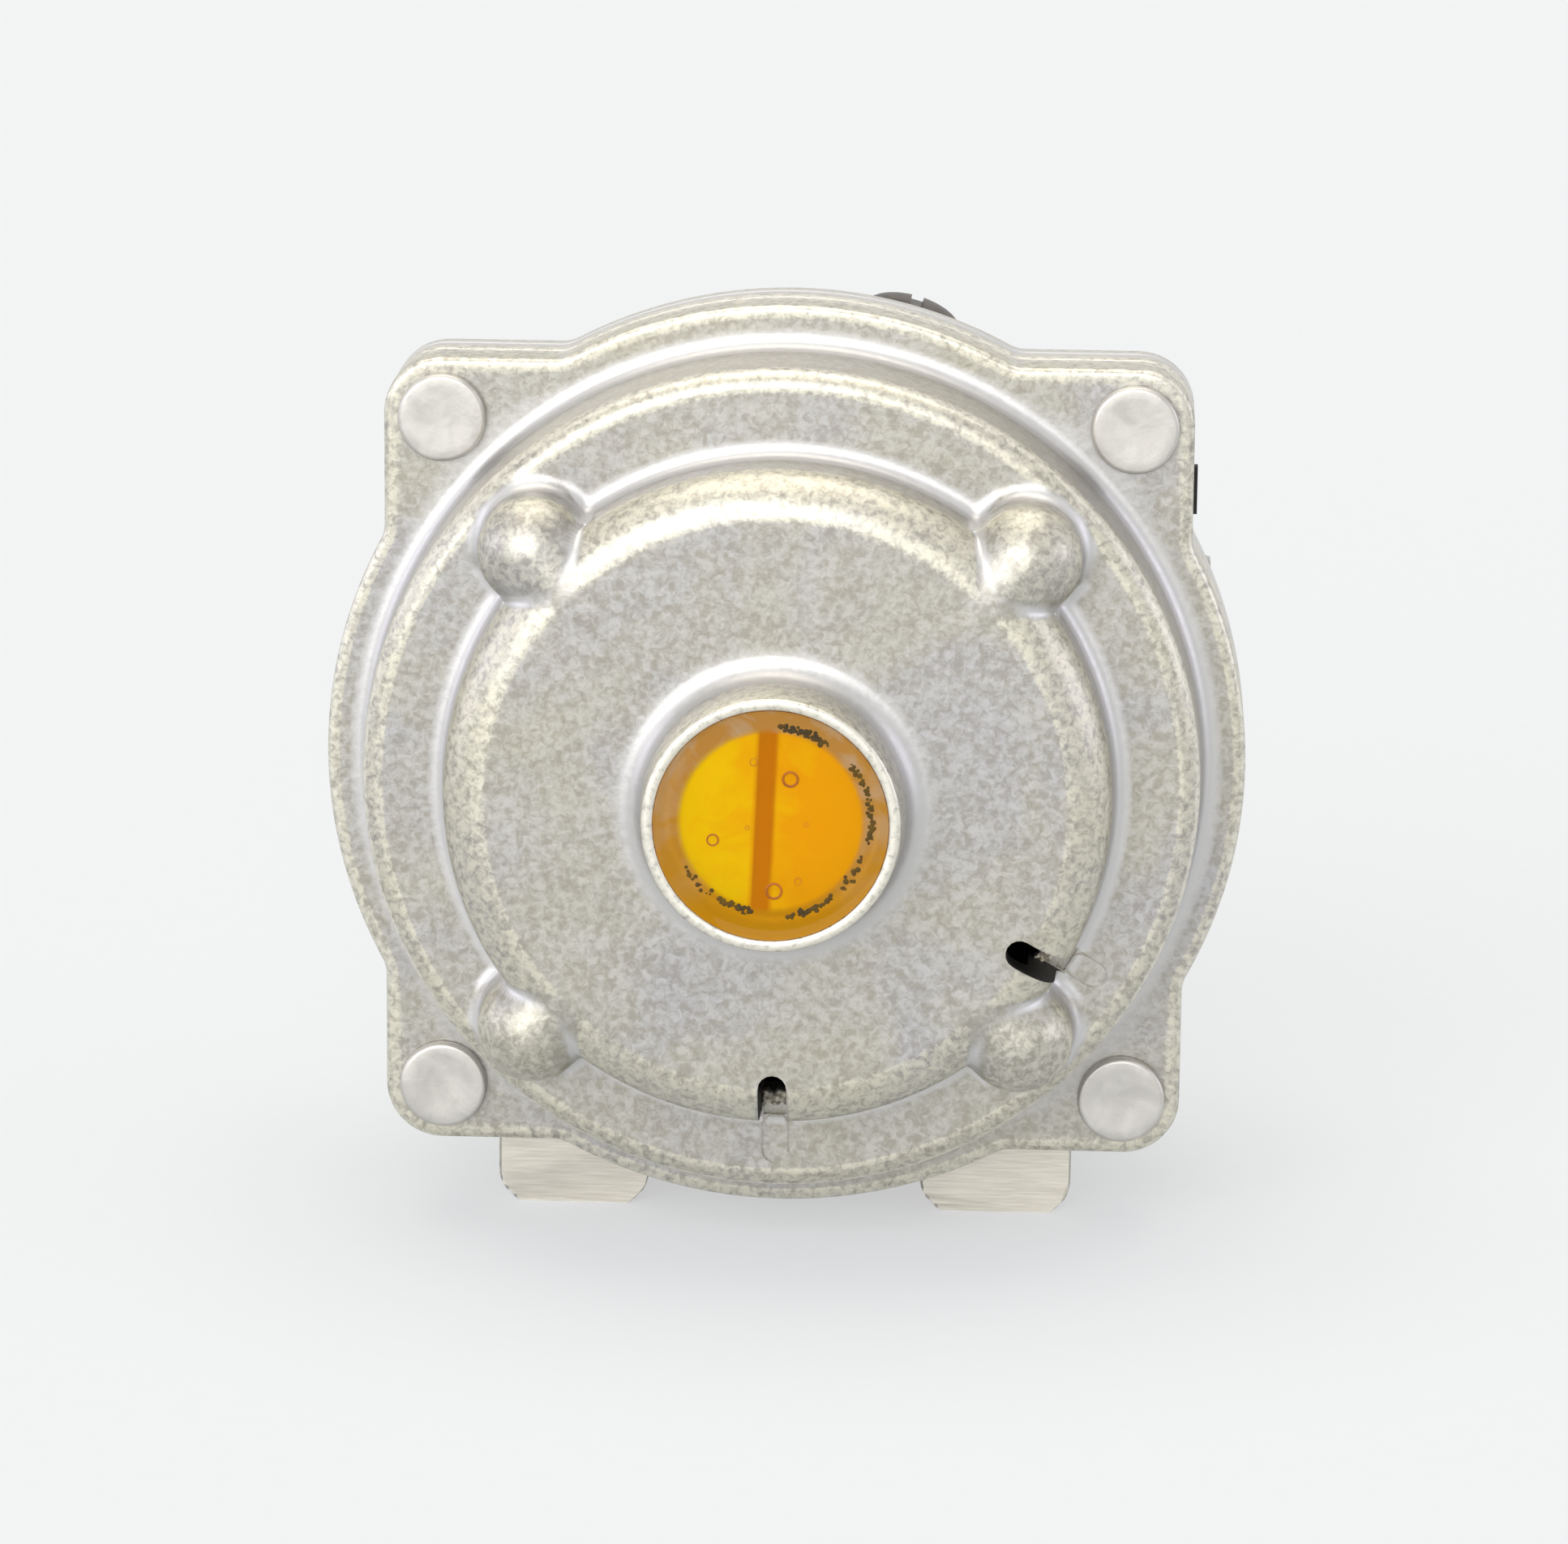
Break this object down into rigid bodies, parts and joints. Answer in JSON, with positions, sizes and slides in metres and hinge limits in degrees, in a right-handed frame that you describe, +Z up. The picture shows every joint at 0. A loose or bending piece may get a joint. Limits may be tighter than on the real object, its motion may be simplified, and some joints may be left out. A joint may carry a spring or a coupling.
{
  "type": "low-pressure gas regulator",
  "caption": "Die-cast diaphragm regulator: domed cover riveted to a square-flanged body on two feet, with a potted adjusting screw, side ports, bell crank and inlet valve.",
  "frame": {"origin": "on the plane the two feet stand on, below the centre line of the round housing, at the middle of the depth from the boss's rim to the back of the valve block", "axes": "+Z up; the cover with the potted adjusting screw faces -Y; +X is to the right as seen from the front, with the inlet at -X and the outlet at +X"},
  "size_m": [0.065, 0.0516, 0.067],
  "materials": {
    "cast_aluminium": "die-cast, as cast",
    "rivet_aluminium": "upset, smooth",
    "resin": "clear, glossy",
    "brass": "turned",
    "steel": "zinc plated",
    "dark_steel": "blackened",
    "rubber": "matte"
  },
  "bodies": {
    "housing": {"bonnet_cover": "cast_aluminium", "body_housing": "cast_aluminium", "flange_rivet_top_left": "rivet_aluminium", "flange_rivet_top_right": "rivet_aluminium", "flange_rivet_bottom_left": "rivet_aluminium", "flange_rivet_bottom_right": "rivet_aluminium", "resin_seal": "resin", "adjusting_screw": "brass", "main_spring": "steel", "diaphragm": "rubber", "lever_pin": "steel", "pin_plug": "brass", "inlet_orifice": "brass", "inlet_filter": "steel", "test_port_plug": "dark_steel", "plug_seal": "rubber"},
    "diaphragm_assembly": {"diaphragm_plate": "steel", "diaphragm_washer": "steel", "stem": "brass", "stem_nut": "steel"},
    "lever": {"lever": "steel"},
    "plunger": {"valve_plunger": "brass", "valve_pad": "rubber"}
  },
  "joints": [
    {"name": "diaphragm_stroke", "type": "slide", "parent": "housing", "child": "diaphragm_assembly", "axis": [0, -1, 0], "range_m": [0, 0.0018], "stiffness_N_per_m": 840, "springref_m": -0.005, "deforming": ["main_spring", "diaphragm"]},
    {"name": "lever_pivot", "type": "hinge", "parent": "housing", "child": "lever", "pos_m": [-0.0095, 0.01953, 0.0345], "axis": [0, 0, -1], "range_deg": [0, 10.9]},
    {"name": "valve_slide", "type": "slide", "parent": "housing", "child": "plunger", "axis": [-1, 0, 0], "range_m": [0, 0.00099]}
  ],
  "couplings": [
    {"joint": "lever_pivot", "follows": "diaphragm_stroke", "rad_per_m": 105.26},
    {"joint": "valve_slide", "follows": "diaphragm_stroke", "ratio": 0.54737}
  ]
}
